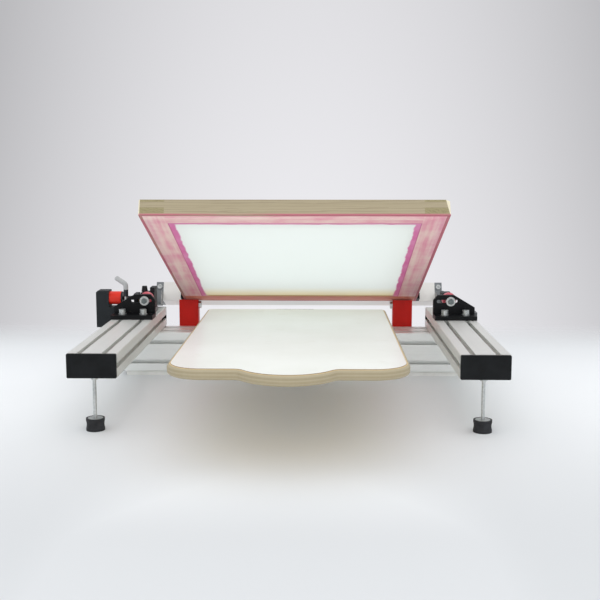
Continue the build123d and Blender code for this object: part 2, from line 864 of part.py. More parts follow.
with BuildPart() as x_spindle:
    with BuildSketch(side_plane(anchor_outer_x + x_collar_length + seat_gap)):
        with Locations((x_spindle_y, register_axis_z)):
            Circle(x_spindle_diameter / 2)
    extrude(amount=x_spindle_inner_x - (anchor_outer_x + x_collar_length + seat_gap))
    with BuildSketch(side_plane(x_knob_inner_x)):
        with Locations((x_spindle_y, register_axis_z)):
            Circle(x_collar_diameter / 2)
    extrude(amount=x_collar_length)
finish(x_spindle, "x_spindle")

with BuildPart() as x_nut:
    with BuildSketch(side_plane(x_lug_outer_x)):
        with Locations((x_spindle_y, register_axis_z)):
            Rectangle(x_nut_width, x_nut_height)
            Circle(x_spindle_diameter / 2 + running_gap, mode=Mode.SUBTRACT)
    extrude(amount=x_lug_thickness)
finish(x_nut, "x_nut")

# ------------------------------------------------------------------ slide clamps in the rail slots
stud_points = {
    (side_name, end): (side * rail_outer_slot_x, y, rail_top)
    for side_name, side in SIDES
    for end, y in (("front", plate_stud_front_y), ("rear", plate_stud_rear_y))
}
with BuildPart() as slide_nuts:
    with Locations(*slot_along(BACK, UP, *stud_points.values())):
        add(tee_nut(lever_stud_diameter))
finish(slide_nuts, "slide_nuts")

plain_stud_points = [point for key, point in stud_points.items() if key != ("left", "front")]
slide_screw_reach = plate_top - rail_top + slot_lip + tee_nut_height
with BuildPart() as slide_screws:
    with Locations(*facing(UP, *[(x, y, plate_top) for x, y, _ in plain_stud_points])):
        add(hex_bolt(lever_stud_diameter, slide_screw_reach, m8_flats, m6_head))
finish(slide_screws, "slide_screws")

# ------------------------------------------------------------------ clamp lever on the left
lever_x, lever_y, _ = stud_points[("left", "front")]
with BuildPart() as lever_stud:
    with BuildSketch(Plane.XY.offset(plate_top)):
        with Locations((lever_x, lever_y)):
            RegularPolygon(m6_flats / 2, 6, major_radius=False)
    extrude(amount=lever_collar_height)
    with BuildSketch(Plane.XY.offset(rail_top - slot_lip - tee_nut_height)):
        with Locations((lever_x, lever_y)):
            Circle(lever_stud_diameter / 2)
    extrude(amount=lever_hub_bottom_z - (rail_top - slot_lip - tee_nut_height))
finish(lever_stud, "lever_stud")

with BuildPart() as lever_hub:
    with BuildSketch(Plane.XY.offset(lever_hub_bottom_z)):
        with Locations((lever_x, lever_y)):
            Circle(lever_hub_diameter / 2)
    extrude(amount=lever_hub_top_z - lever_hub_bottom_z)
finish(lever_hub, "lever_hub")

with BuildPart() as lever_arm:
    with BuildLine() as lever_path:
        FilletPolyline(
            (lever_x, lever_y, lever_hub_top_z),
            (lever_x, lever_y, lever_bend_z),
            (lever_tip_x, lever_y, lever_tip_z),
            radius=lever_bend_radius,
        )
    with BuildSketch(Plane.XY.offset(lever_hub_top_z)):
        with Locations((lever_x, lever_y)):
            Circle(lever_arm_diameter / 2)
    sweep(path=lever_path.line)
    fillet(lever_arm.faces().sort_by(Axis.X)[0].edges(), lever_tip_round)
finish(lever_arm, "lever_arm")

# ------------------------------------------------------------------ slide plates and blocks
stud_slot_width = lever_stud_diameter + stud_slot_play
stud_slot_length = stud_slot_width + 2 * (side_shift + adjust_x + bolt_gap)
with BuildPart() as slide_plates:
    for _, side in SIDES:
        plate_centre_x = side * (plate_inner_x + plate_outer_x) / 2 + side_shift
        tab_centre_x = side * (plate_tab_inner_x + plate_inner_x) / 2 + side_shift
        with BuildSketch(Plane.XY.offset(plate_bottom)):
            with Locations((plate_centre_x, (plate_front_y + plate_rear_y) / 2)):
                Rectangle(plate_outer_x - plate_inner_x, plate_rear_y - plate_front_y)
            with Locations((tab_centre_x, (plate_front_y + plate_tab_rear_y) / 2)):
                Rectangle(plate_inner_x - plate_tab_inner_x, plate_tab_rear_y - plate_front_y)
            for y in (plate_stud_front_y, plate_stud_rear_y):
                with Locations((side * rail_outer_slot_x + side_shift, y)):
                    SlotOverall(stud_slot_length, stud_slot_width, mode=Mode.SUBTRACT)
        extrude(amount=plate_thickness)
finish(slide_plates, "slide_plates")

with BuildPart() as bearing_blocks:
    for _, side in SIDES:
        bearing_start_x = side * (plate_inner_x + bearing_width / 2) + side_shift - bearing_width / 2
        with BuildSketch(side_plane(bearing_start_x)):
            with Locations((pivot_y, (plate_top + pivot_z) / 2)):
                Rectangle(bearing_length, pivot_z - plate_top)
            with Locations((pivot_y, pivot_z)):
                Circle(bearing_top_radius)
                Circle(pivot_pin_diameter / 2 + running_gap, mode=Mode.SUBTRACT)
        extrude(amount=bearing_width)
finish(bearing_blocks, "bearing_blocks")

for side_name, side in SIDES:
    screw_x = side * register_screw_x + side_shift
    with BuildPart() as nut_block:
        with BuildSketch(front_plane(nut_block_rear_y)):
            with Locations((screw_x, (plate_top + nut_block_top_z) / 2)):
                Rectangle(nut_block_width, nut_block_top_z - plate_top)
            if side_name == "left":
                with Locations(
                    (
                        screw_x - nut_block_width / 2 - clamp_side_width / 2,
                        (plate_top + nut_block_top_z) / 2,
                    )
                ):
                    Rectangle(clamp_side_width, nut_block_top_z - plate_top)
            with Locations((screw_x, register_axis_z)):
                Circle(register_screw_diameter / 2 + running_gap, mode=Mode.SUBTRACT)
        extrude(amount=nut_block_rear_y - nut_block_front_y)
        if side_name == "left":
            with BuildSketch(front_plane(nut_block_rear_y)):
                with Locations(
                    (
                        screw_x + nut_block_width / 2 - clamp_ear_width / 2,
                        (nut_block_top_z + clamp_ear_top_z) / 2,
                    )
                ):
                    Rectangle(clamp_ear_width, clamp_ear_top_z - nut_block_top_z)
            extrude(amount=nut_block_rear_y - clamp_ear_front_y)
            with BuildSketch(Plane.XY.offset(nut_block_top_z)):
                with Locations((screw_x - brake_knob_offset, brake_knob_y)):
                    Circle(brake_screw_diameter / 2 + running_gap)
            extrude(amount=-brake_screw_reach - seat_gap, mode=Mode.SUBTRACT)
    finish(nut_block, f"nut_block_{side_name}")

x_lug_front_y = x_spindle_y - x_nut_width / 2 - adjust_y_back - seat_gap - x_lug_wall
x_lug_rear_y = x_spindle_y + x_nut_width / 2 + adjust_y_forward + seat_gap + x_lug_wall
with BuildPart() as x_lug:
    with BuildSketch(side_plane(x_lug_outer_x)):
        with Locations(((x_lug_front_y + x_lug_rear_y) / 2, (plate_top + x_lug_top_z) / 2)):
            Rectangle(x_lug_rear_y - x_lug_front_y, x_lug_top_z - plate_top)
        with Locations(((x_lug_front_y + x_lug_rear_y) / 2, register_axis_z)):
            Rectangle(
                x_lug_rear_y - x_lug_front_y - 2 * x_lug_wall,
                x_nut_height + 2 * seat_gap,
                mode=Mode.SUBTRACT,
            )
    extrude(amount=x_lug_thickness)
finish(x_lug, "x_lug")

brake_x = -register_screw_x + side_shift - brake_knob_offset
with BuildPart() as brake_knob:
    with BuildSketch(Plane.XY.offset(nut_block_top_z + seat_gap)):
        with Locations((brake_x, brake_knob_y)):
            Circle(brake_neck_diameter / 2)
    extrude(amount=brake_neck_height)
    with BuildSketch(brake_knob.faces().sort_by(Axis.Z)[-1]):
        Circle(brake_knob_base / 2)
    extrude(amount=brake_knob_height, taper=brake_knob_taper)
    with BuildSketch(Plane.XY.offset(nut_block_top_z + seat_gap)):
        with Locations((brake_x, brake_knob_y)):
            Circle(brake_screw_diameter / 2)
    extrude(amount=-brake_screw_reach)
finish(brake_knob, "brake_knob")

# ------------------------------------------------------------------ register screws and red discs
for side_name, side in SIDES:
    screw_x = side * register_screw_x + side_shift
    with BuildPart() as slot_washers:
        with Locations(*facing(FRONT, (screw_x, bracket_face_y, register_axis_z))):
            add(
                washer(
                    register_washer_diameter,
                    register_screw_diameter + 2 * running_gap,
                    register_washer_thickness,
                )
            )
        with Locations(*facing(BACK, (screw_x, bracket_rear_y, register_axis_z))):
            add(
                washer(
                    register_washer_diameter,
                    register_screw_diameter + 2 * running_gap,
                    register_washer_thickness,
                )
            )
    finish(slot_washers, f"slot_washers_{side_name}")

    head_y = bracket_face_y - register_washer_thickness
    with BuildPart() as register_screw:
        with Locations(*facing(FRONT, (screw_x, head_y, register_axis_z))):
            add(
                hex_bolt(
                    register_screw_diameter,
                    nut_block_rear_y - adjust_y_forward - head_y,
                    m6_flats,
                    m6_head,
                )
            )
    finish(register_screw, f"register_screw_{side_name}")

    with BuildPart() as disc:
        with BuildSketch(front_plane(disc_rear_y)):
            with Locations((screw_x, register_axis_z)):
                Circle(disc_diameter / 2)
                Circle(register_screw_diameter / 2 + running_gap, mode=Mode.SUBTRACT)
                with PolarLocations(disc_diameter / 2, disc_groove_count):
                    Circle(disc_groove_radius, mode=Mode.SUBTRACT)
        extrude(amount=disc_thickness)
        with BuildSketch(front_plane(disc_front_y)):
            with Locations((screw_x, register_axis_z)):
                Circle(disc_neck_diameter / 2)
                Circle(register_screw_diameter / 2 + running_gap, mode=Mode.SUBTRACT)
        extrude(amount=disc_gap - register_washer_thickness - seat_gap)
    finish(disc, f"register_disc_{side_name}")

# ------------------------------------------------------------------ hinge beam and end blocks
hinge_beam_centre = frame_rear + hinge_beam_size / 2
hinge_beam_mid = underside + hinge_beam_size / 2
beam_back = frame_rear + hinge_beam_size
clamp_up = underside + screen_clamp_height
clamp_places = [screen_centre_x - screen_clamp_spread, screen_centre_x + screen_clamp_spread]
cheek_places = [
    screen_centre_x + side * (screen_width / 2 + seat_gap + cheek_thickness / 2) for _, side in SIDES
]
cheek_up = underside + cheek_height / 2
cheek_screw_up = underside + cheek_screw_height
cheek_seat_points = [screen_point(x, frame_rear, cheek_screw_up) for x in cheek_places]
cheek_head_points = [screen_point(x, frame_rear + hinge_beam_wall, cheek_screw_up) for x in cheek_places]

with BuildPart() as hinge_beam:
    with BuildSketch(screen_section(side_shift - end_block_inner_x)):
        with Locations((hinge_beam_centre, hinge_beam_mid)):
            Rectangle(hinge_beam_size, hinge_beam_size)
            Rectangle(
                hinge_beam_size - 2 * hinge_beam_wall,
                hinge_beam_size - 2 * hinge_beam_wall,
                mode=Mode.SUBTRACT,
            )
    extrude(amount=2 * end_block_inner_x)
    with Locations(*facing(screen_back, *[screen_point(x, beam_back, clamp_up) for x in clamp_places])):
        Hole(screen_clamp_diameter / 2 + bolt_gap, depth=hinge_beam_size)
    with Locations(*facing(screen_back, *cheek_head_points)):
        Hole(m4 / 2 + bolt_gap, depth=hinge_beam_wall)
finish(hinge_beam, "hinge_beam")

end_screw_up = underside + end_screw_above
end_block_places = [
    side * (end_block_inner_x + end_block_thickness / 2) + side_shift for _, side in SIDES
]
screen_forward = tuple(-part for part in screen_back)
lug_low = underside - end_block_lug_drop
lug_high = underside + end_block_lug_top
end_screw_points = [screen_point(x, frame_rear, end_screw_up) for x in end_block_places]
with BuildPart() as end_blocks:
    for block_x in end_block_places:
        with BuildSketch(screen_section(block_x - end_block_thickness / 2)):
            with Locations((hinge_beam_centre, hinge_beam_mid)):
                Rectangle(hinge_beam_size, hinge_beam_size)
            with Locations(((frame_rear - end_block_lug_front) / 2, (lug_low + lug_high) / 2)):
                Rectangle(frame_rear + end_block_lug_front, lug_high - lug_low)
            Circle(pivot_pin_diameter / 2 + running_gap, mode=Mode.SUBTRACT)
        extrude(amount=end_block_thickness)
    with Locations(*facing(screen_forward, *end_screw_points)):
        Hole(end_screw_diameter / 2 + bolt_gap, depth=hinge_beam_size / 2)
finish(end_blocks, "end_blocks")

with BuildPart() as end_screws:
    with Locations(*facing(screen_forward, *end_screw_points)):
        add(socket_bolt(end_screw_diameter, hinge_beam_size / 2 - seat_gap, end_screw_head, m6_head))
finish(end_screws, "end_screws")

with BuildPart() as hinge_pins:
    for _, side in SIDES:
        outward = RIGHT if side > 0 else LEFT
        pin_start_x = side * end_block_inner_x + side_shift
        pin_length = plate_inner_x - end_block_inner_x + bearing_width + seat_gap
        with Locations(*facing(outward, (pin_start_x, pivot_y, pivot_z))):
            Cylinder(
                pivot_pin_diameter / 2, pin_length, align=(Align.CENTER, Align.CENTER, Align.MIN)
            )
        with Locations(*facing(outward, (pin_start_x + side * pin_length, pivot_y, pivot_z))):
            Cylinder(
                bearing_top_radius - seat_gap,
                pin_head_thickness,
                align=(Align.CENTER, Align.CENTER, Align.MIN),
            )
finish(hinge_pins, "hinge_pins")

# ------------------------------------------------------------------ screen frame with finger joints
bar_inset = screen_width / 2 - screen_bar_width / 2
frame_middle = (frame_front + frame_rear) / 2
finger_layers = list(zip(finger_steps, finger_steps[1:]))
cross_bar_layers = finger_layers[0::2]
corner_places = [
    (screen_centre_x + x_side * bar_inset, frame_middle + y_side * (screen_length - screen_bar_width) / 2)
    for x_side in (-1, 1)
    for y_side in (-1, 1)
]


def corner_wedge(side, cut):
    """What is planed off a front corner: a triangle that changes size from the underside up."""
    edge_x = screen_centre_x + side * screen_width / 2
    with BuildPart() as wedge:
        for level, size in zip((underside, underside + screen_thickness), cut):
            with BuildSketch(screen_level(level)):
                with BuildLine():
                    Polyline(
                        (edge_x, frame_front),
                        (edge_x - side * size, frame_front),
                        (edge_x, frame_front + size),
                        close=True,
                    )
                make_face()
        loft()
    return wedge.part


left_wedge = corner_wedge(-1, corner_cut_left)
right_wedge = corner_wedge(1, corner_cut_right)
for side_name, side in SIDES:
    with BuildPart() as side_bar:
        with BuildSketch(screen_level(underside)):
            with Locations((screen_centre_x + side * bar_inset, frame_middle)):
                Rectangle(screen_bar_width, screen_length)
        extrude(amount=screen_thickness)
        for low, high in cross_bar_layers:
            with BuildSketch(screen_level(underside + low)):
                with Locations(*corner_places):
                    Rectangle(screen_bar_width, screen_bar_width)
            extrude(amount=high - low, mode=Mode.SUBTRACT)
        add(right_wedge if side > 0 else left_wedge, mode=Mode.SUBTRACT)
    finish(side_bar, f"screen_bar_{side_name}")

for bar_name, end in (("front", -1), ("rear", 1)):
    bar_back = frame_middle + end * (screen_length - screen_bar_width) / 2
    with BuildPart() as cross_bar:
        with BuildSketch(screen_level(underside)):
            with Locations((screen_centre_x, bar_back)):
                Rectangle(screen_width - 2 * screen_bar_width, screen_bar_width)
        extrude(amount=screen_thickness)
        for low, high in cross_bar_layers:
            with BuildSketch(screen_level(underside + low)):
                with Locations((screen_centre_x, bar_back)):
                    Rectangle(screen_width, screen_bar_width)
            extrude(amount=high - low)
        if bar_name == "front":
            add(left_wedge, mode=Mode.SUBTRACT)
            add(right_wedge, mode=Mode.SUBTRACT)
        else:
            rear_points = [screen_point(x, frame_rear, clamp_up) for x in clamp_places]
            with Locations(*facing(screen_back, *rear_points)):
                Hole(insert_diameter / 2 + seat_gap, depth=insert_length + seat_gap)
    finish(cross_bar, f"screen_bar_{bar_name}")

with BuildPart() as mesh:
    with BuildSketch(screen_level(underside - mesh_thickness)):
        with Locations((screen_centre_x, frame_middle)):
            Rectangle(screen_width - 2 * mesh_margin, screen_length - 2 * mesh_margin)
    extrude(amount=mesh_thickness)
finish(mesh, "mesh")

# ------------------------------------------------------------------ what holds the screen to the beam
with BuildPart() as cheeks:
    for cheek_x in cheek_places:
        with BuildSketch(screen_section(cheek_x - cheek_thickness / 2)):
            with Locations((frame_rear - cheek_length / 2, cheek_up)):
                Rectangle(cheek_length, cheek_height)
        extrude(amount=cheek_thickness)
    with Locations(*facing(screen_back, *cheek_seat_points)):
        Hole(m4 / 2 + running_gap, depth=cheek_screw_reach + seat_gap)
finish(cheeks, "screen_cheeks")

with BuildPart() as cheek_screws:
    with Locations(*facing(screen_back, *cheek_head_points)):
        add(socket_bolt(m4, hinge_beam_wall + cheek_screw_reach, m4_socket_head, m4))
finish(cheek_screws, "cheek_screws")

with BuildPart() as screen_inserts:
    with Locations(*facing(screen_back, *[screen_point(x, frame_rear, clamp_up) for x in clamp_places])):
        Cylinder(insert_diameter / 2, insert_length, align=(Align.CENTER, Align.CENTER, Align.MAX))
        Hole(screen_clamp_diameter / 2 + running_gap, depth=insert_length)
finish(screen_inserts, "screen_inserts")

star_screw_reach = hinge_beam_size + clamp_washer_thickness + seat_gap + insert_length - bolt_gap
for (side_name, side), clamp_x in zip(SIDES, clamp_places):
    with BuildPart() as clamp_washer:
        with Locations(*facing(screen_back, screen_point(clamp_x, beam_back, clamp_up))):
            add(
                washer(
                    clamp_washer_diameter,
                    screen_clamp_diameter + 2 * running_gap,
                    clamp_washer_thickness,
                )
            )
    finish(clamp_washer, f"clamp_washer_{side_name}")

    knob_back = beam_back + clamp_washer_thickness + seat_gap
    knob_start = Plane(
        origin=screen_point(clamp_x, knob_back, clamp_up), x_dir=RIGHT, z_dir=screen_back
    )
    with BuildPart() as star_knob:
        with BuildSketch(knob_start):
            Circle(star_neck_diameter / 2)
        extrude(amount=star_neck_length)
        with BuildSketch(knob_start.offset(star_neck_length)):
            Circle(star_knob_diameter / 2 - star_lobe_radius / 2)
            with PolarLocations(star_knob_diameter / 2 - star_lobe_radius / 2, star_lobe_count):
                Circle(star_lobe_radius / 2)
        extrude(amount=star_knob_length - star_neck_length)
        with BuildSketch(knob_start):
            Circle(screen_clamp_diameter / 2)
        extrude(amount=-star_screw_reach)
    finish(star_knob, f"star_knob_{side_name}")
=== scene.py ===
"""Looks of a tabletop screen printing press, dressed on its fixed frame."""

import logging
from dataclasses import dataclass
from enum import Enum
from math import pi, radians
from typing import Any, Dict, List, Optional, Sequence, Tuple, Union

import bmesh
import bpy
from mathutils import Matrix, Vector

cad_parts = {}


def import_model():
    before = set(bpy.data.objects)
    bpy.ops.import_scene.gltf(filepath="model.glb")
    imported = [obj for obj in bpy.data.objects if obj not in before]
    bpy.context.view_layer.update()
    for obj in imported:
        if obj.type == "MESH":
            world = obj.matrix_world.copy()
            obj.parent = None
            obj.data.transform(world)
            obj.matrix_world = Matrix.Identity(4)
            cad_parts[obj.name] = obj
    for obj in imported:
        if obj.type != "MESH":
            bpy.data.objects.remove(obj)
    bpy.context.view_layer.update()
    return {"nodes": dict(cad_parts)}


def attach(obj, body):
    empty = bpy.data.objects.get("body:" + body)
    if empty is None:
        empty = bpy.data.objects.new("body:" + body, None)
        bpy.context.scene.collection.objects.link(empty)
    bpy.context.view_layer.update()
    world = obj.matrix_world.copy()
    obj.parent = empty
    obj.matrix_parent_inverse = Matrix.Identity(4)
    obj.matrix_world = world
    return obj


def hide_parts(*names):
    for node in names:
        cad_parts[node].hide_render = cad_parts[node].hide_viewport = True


LOG = logging.getLogger("screen_press")
Colour = Tuple[float, float, float, float]
Setting = Dict[str, Any]
Inputs = Dict[Union[str, int], Any]


class Axis(Enum):
    """The direction in which a surface was drawn, sawn or brushed."""

    X = (1.0, 0.0, 0.0)
    Y = (0.0, 1.0, 0.0)
    Z = (0.0, 0.0, 1.0)

    def stretch(self, along: float, across: float) -> Tuple[float, float, float]:
        """Scales of a pattern that is long on this axis and fine across it."""
        return tuple(along if part else across for part in self.value)


class Side(Enum):
    """The press's two sides, as the operator sees them."""

    LEFT = -1
    RIGHT = 1

    @property
    def word(self) -> str:
        """The side's word in the names of pieces."""
        return self.name.lower()


def tone(code: str) -> Colour:
    """Turns a colour as a screen shows it into the linear colour of a shader.

    Args:
        code: Six hexadecimal digits.

    Returns:
        Linear red, green and blue, and an alpha of 1.
    """
    parts = [int(code[i : i + 2], 16) / 255 for i in (0, 2, 4)]
    linear = [p / 12.92 if p <= 0.04045 else ((p + 0.055) / 1.055) ** 2.4 for p in parts]
    return (linear[0], linear[1], linear[2], 1.0)


class Value:
    """A number in a shader: Python's operators on it add Math nodes."""

    def __init__(self, graph: "Graph", socket: bpy.types.NodeSocket) -> None:
        """Keeps the socket and the graph that it belongs to."""
        self.graph = graph
        self.socket = socket

    def _math(self, operation: str, *terms: Any) -> "Value":
        """Adds one Math node on the given terms and returns its result."""
        node = self.graph.add("ShaderNodeMath", {"operation": operation}, dict(enumerate(terms)))
        return Value(self.graph, node.outputs[0])

    def __add__(self, other: Any) -> "Value":
        """Sum."""
        return self._math("ADD", self, other)

    def __radd__(self, other: Any) -> "Value":
        """Sum, with a number on the left."""
        return self._math("ADD", other, self)

    def __sub__(self, other: Any) -> "Value":
        """Difference."""
        return self._math("SUBTRACT", self, other)

    def __rsub__(self, other: Any) -> "Value":
        """Difference, with a number on the left."""
        return self._math("SUBTRACT", other, self)

    def __mul__(self, other: Any) -> "Value":
        """Product."""
        return self._math("MULTIPLY", self, other)

    def __rmul__(self, other: Any) -> "Value":
        """Product, with a number on the left."""
        return self._math("MULTIPLY", other, self)

    def __truediv__(self, other: Any) -> "Value":
        """Quotient."""
        return self._math("DIVIDE", self, other)

    def __abs__(self) -> "Value":
        """Size without sign."""
        return self._math("ABSOLUTE", self)

    def lowest(self, other: Any) -> "Value":
        """The lower of this value and another."""
        return self._math("MINIMUM", self, other)

    def highest(self, other: Any) -> "Value":
        """The higher of this value and another."""
        return self._math("MAXIMUM", self, other)

    def repeat(self, period: float) -> "Value":
        """The value's place inside its period, from 0 to 1."""
        return self._math("FRACT", self / period)

    def between(self, low: float, high: float) -> "Value":
        """A smooth step: 0 below low, 1 above high; the other way round if high is the lower."""
        node = self.graph.add(
            "ShaderNodeMapRange",
            {"interpolation_type": "SMOOTHSTEP"},
            {"Value": self, "From Min": low, "From Max": high},
        )
        return Value(self.graph, node.outputs[0])


class Graph:
    """The node tree of one material or of the world."""

    def __init__(self, tree: bpy.types.NodeTree) -> None:
        """Empties the tree and keeps it."""
        tree.nodes.clear()
        self.tree = tree

    def add(
        self, kind: str, settings: Optional[Setting] = None, inputs: Optional[Inputs] = None
    ) -> bpy.types.Node:
        """Adds a node: its settings first, then its sockets.

        Args:
            kind: The node's type.
            settings: Its own settings; "stops" fills a colour ramp.
            inputs: Values or links of its sockets, by name or number.

        Returns:
            The new node.
        """
        node = self.tree.nodes.new(kind)
        for key, value in (settings or {}).items():
            if key == "stops":
                self._fill_ramp(node.color_ramp, value)
            else:
                setattr(node, key, value)
        for key, value in (inputs or {}).items():
            socket = value.socket if isinstance(value, Value) else value
            if isinstance(socket, bpy.types.NodeSocket):
                self.tree.links.new(socket, node.inputs[key])
            else:
                node.inputs[key].default_value = socket
        return node

    @staticmethod
    def _fill_ramp(ramp: bpy.types.ColorRamp, stops: Sequence[Tuple[float, Colour]]) -> None:
        """Gives a colour ramp its stops, in order."""
        while len(ramp.elements) < len(stops):
            ramp.elements.new(1.0)
        for element, (place, colour) in zip(ramp.elements, stops):
            element.position = place
            element.color = colour

    def coordinates(self) -> bpy.types.NodeSocket:
        """Places on the piece, in metres of the shared frame at rest."""
        return self.add("ShaderNodeTexCoord").outputs["Object"]

    def facing(self, direction: Sequence[float]) -> Value:
        """How far the surface faces a direction, from -1 to 1."""
        normal = self.add("ShaderNodeTexCoord").outputs["Normal"]
        node = self.add(
            "ShaderNodeVectorMath", {"operation": "DOT_PRODUCT"}, {0: normal, 1: tuple(direction)}
        )
        return Value(self, node.outputs["Value"])

    def moved(
        self,
        place: bpy.types.NodeSocket,
        scale: Sequence[float] = (1.0, 1.0, 1.0),
        origin: Sequence[float] = (0.0, 0.0, 0.0),
        turn: Sequence[float] = (0.0, 0.0, 0.0),
    ) -> bpy.types.NodeSocket:
        """Places seen from a turned origin and then stretched."""
        inner = self.add(
            "ShaderNodeMapping",
            {"vector_type": "TEXTURE"},
            {"Vector": place, "Location": tuple(origin), "Rotation": tuple(turn)},
        )
        outer = self.add(
            "ShaderNodeMapping", None, {"Vector": inner.outputs[0], "Scale": tuple(scale)}
        )
        return outer.outputs[0]

    def split(self, place: bpy.types.NodeSocket) -> Tuple[Value, Value, Value]:
        """The three parts of a place."""
        node = self.add("ShaderNodeSeparateXYZ", None, {0: place})
        return tuple(Value(self, output) for output in node.outputs)

    def noise(
        self, place: bpy.types.NodeSocket, scale: float, detail: float = 3.0, rough: float = 0.55
    ) -> Value:
        """Soft noise from 0 to 1 with features of about 1/scale metres."""
        node = self.add(
            "ShaderNodeTexNoise",
            None,
            {"Vector": place, "Scale": scale, "Detail": detail, "Roughness": rough},
        )
        return Value(self, node.outputs[0])

    def cells(self, place: bpy.types.NodeSocket, scale: float) -> Value:
        """Distance to the nearest of many scattered points."""
        node = self.add("ShaderNodeTexVoronoi", None, {"Vector": place, "Scale": scale})
        return Value(self, node.outputs["Distance"])

    def mix(self, share: Any, first: Any, second: Any) -> bpy.types.NodeSocket:
        """Blends two colours: first at a share of 0, second at 1."""
        node = self.add("ShaderNodeMix", {"data_type": "RGBA"}, {0: share, 6: first, 7: second})
        return node.outputs[2]

    def bump(self, height: Value, depth: float, strength: float = 1.0) -> bpy.types.NodeSocket:
        """A normal from a height of 0 to 1, depth metres deep."""
        node = self.add(
            "ShaderNodeBump", None, {"Height": height, "Distance": depth, "Strength": strength}
        )
        return node.outputs[0]

    def surface(self, inputs: Inputs) -> bpy.types.Node:
        """The Principled shader with the given sockets."""
        return self.add("ShaderNodeBsdfPrincipled", None, inputs)

    def end(self, shader: bpy.types.NodeSocket) -> None:
        """Links the finished shader to the tree's output."""
        self.add("ShaderNodeOutputMaterial", None, {"Surface": shader})


@dataclass(frozen=True)
class Finish:
    """A finish: one material, made once."""

    name: str

    def lay(self, graph: Graph) -> bpy.types.NodeSocket:
        """Builds the shader and returns its socket."""
        raise NotImplementedError

    def material(self) -> bpy.types.Material:
        """Returns the finish's material, making it the first time."""
        found = bpy.data.materials.get(self.name)
        if found is None:
            found = bpy.data.materials.new(self.name)
            found.use_nodes = True
            graph = Graph(found.node_tree)
            graph.end(self.lay(graph))
        return found


@dataclass(frozen=True)
class DrawnAluminium(Finish):
    """Clear anodised aluminium with fine die lines along its length."""

    colour: str
    shade: str
    along: Axis
    roughness: float = 0.42
    metallic: float = 0.55
    line_scale: float = 900.0
    line_depth: float = 0.00002

    def lay(self, graph: Graph) -> bpy.types.NodeSocket:
        """Die lines, a faint cloud of wear and a satin sheen."""
        place = graph.coordinates()
        lines = graph.noise(graph.moved(place, self.along.stretch(2.0, self.line_scale)), 1.0, 2.0)
        bands = graph.noise(graph.moved(place, self.along.stretch(1.0, 130.0)), 1.0, 1.0)
        cloud = graph.noise(place, 9.0, 4.0)
        share = (lines * 0.35 + bands * 0.35 + cloud * 0.5 - 0.25) * 0.8
        base = graph.mix(share.between(0.0, 1.0), tone(self.colour), tone(self.shade))
        shader = graph.surface(
            {
                "Base Color": base,
                "Metallic": self.metallic,
                "Roughness": self.roughness - 0.08 + cloud * 0.12 + lines * 0.05,
                "Normal": graph.bump(lines, self.line_depth),
            }
        )
        return shader.outputs[0]


@dataclass(frozen=True)
class MouldedPlastic(Finish):
    """Moulded plastic with a fine spark texture and slight shine marks."""

    colour: str
    shade: str
    roughness: float = 0.5
    grain: float = 900.0
    grain_depth: float = 0.00006
    gloss: float = 0.5

    def lay(self, graph: Graph) -> bpy.types.NodeSocket:
        """Spark grain, handling marks and a little dust."""
        place = graph.coordinates()
        grain = graph.cells(place, self.grain)
        marks = graph.noise(place, 45.0, 5.0)
        dust = graph.facing((0.0, 0.0, 1.0)).between(0.2, 1.0) * marks.between(0.4, 0.75) * 0.12
        base = graph.mix(marks.between(0.3, 0.7), tone(self.colour), tone(self.shade))
        dusty = graph.mix(dust, base, tone("8C8B88"))
        shader = graph.surface(
            {
                "Base Color": dusty,
                "Roughness": self.roughness + (marks - 0.5) * 0.2,
                "Specular IOR Level": self.gloss,
                "Normal": graph.bump(grain, self.grain_depth),
            }
        )
        return shader.outputs[0]


@dataclass(frozen=True)
class Coating(Finish):
    """Stoved paint or powder coat with its orange peel."""

    colour: str
    shade: str
    roughness: float = 0.38
    peel: float = 420.0
    peel_depth: float = 0.00005
    coat: float = 0.05
    gloss: float = 0.5

    def lay(self, graph: Graph) -> bpy.types.NodeSocket:
        """Orange peel under a thin clear layer, with slightly uneven colour."""
        place = graph.coordinates()
        peel = graph.noise(place, self.peel, 1.0)
        cloud = graph.noise(place, 22.0, 4.0)
        base = graph.mix(cloud.between(0.3, 0.75), tone(self.colour), tone(self.shade))
        shader = graph.surface(
            {
                "Base Color": base,
                "Roughness": self.roughness + (cloud - 0.5) * 0.16,
                "Specular IOR Level": self.gloss,
                "Coat Weight": self.coat,
                "Coat Roughness": 0.2,
                "Normal": graph.bump(peel, self.peel_depth),
            }
        )
        return shader.outputs[0]


@dataclass(frozen=True)
class PlatedMetal(Finish):
    """Turned or pressed metal: zinc plate, black oxide or brass."""

    colour: str
    shade: str
    roughness: float = 0.34
    metallic: float = 0.9

    def lay(self, graph: Graph) -> bpy.types.NodeSocket:
        """Crystal clouding and fine flecks."""
        place = graph.coordinates()
        flakes = graph.cells(place, 260.0)
        cloud = graph.noise(place, 60.0, 5.0)
        worn = (cloud * 0.8 + flakes * 0.4).between(0.2, 0.9)
        base = graph.mix(worn, tone(self.colour), tone(self.shade))
        shader = graph.surface(
            {
                "Base Color": base,
                "Metallic": self.metallic,
                "Roughness": self.roughness + (flakes - 0.4) * 0.12 + (cloud - 0.5) * 0.18,
                "Normal": graph.bump(cloud, 0.00003),
            }
        )
        return shader.outputs[0]


